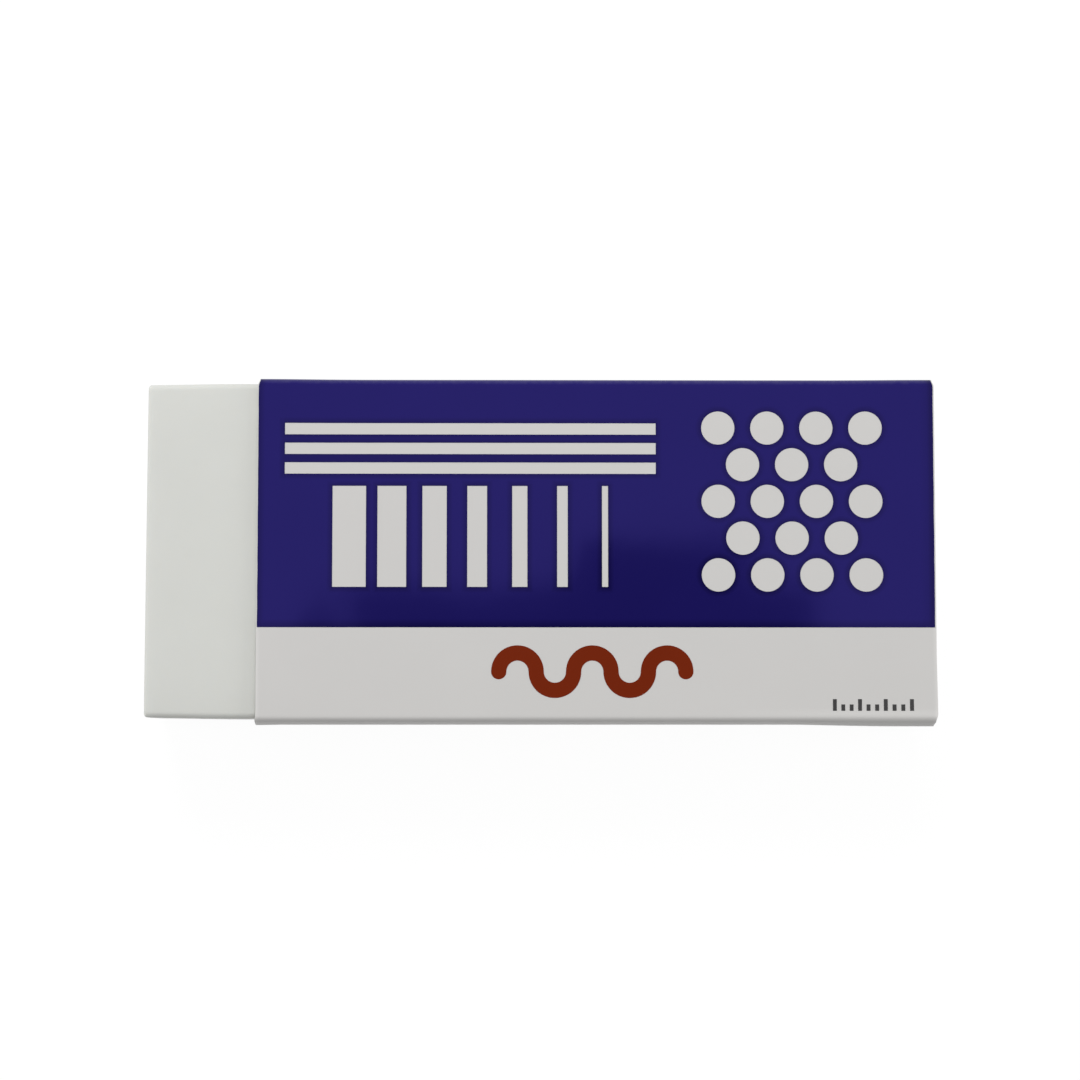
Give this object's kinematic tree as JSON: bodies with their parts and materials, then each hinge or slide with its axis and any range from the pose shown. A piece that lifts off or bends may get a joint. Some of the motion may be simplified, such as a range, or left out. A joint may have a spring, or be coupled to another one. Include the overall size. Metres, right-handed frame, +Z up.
{
  "type": "block eraser in a card sleeve",
  "caption": "White vinyl block eraser in a folded, printed card sleeve. The block slides lengthways in the sleeve, so that more of its working end shows as it wears.",
  "frame": {"origin": "middle of the underside of the whole eraser as it lies on its broad face", "axes": "+X along the eraser from its bare end to its sleeved end, +Y across the broad face to the edge where the blue print wraps over, +Z up"},
  "size_m": [0.1036, 0.0454, 0.0199],
  "materials": {
    "eraser_vinyl": "satin",
    "white_card": "gloss",
    "blue_ink": "gloss",
    "red_ink": "gloss",
    "black_ink": "gloss"
  },
  "bodies": {
    "sleeve": {"card_sleeve": "white_card", "blue_print": "blue_ink", "red_print": "red_ink", "black_print": "black_ink"},
    "block": {"eraser_block": "eraser_vinyl"}
  },
  "joints": [
    {"name": "block_slide", "type": "slide", "parent": "sleeve", "child": "block", "axis": [-1, 0, 0], "range_m": [-0.1036, 0.0885]}
  ]
}
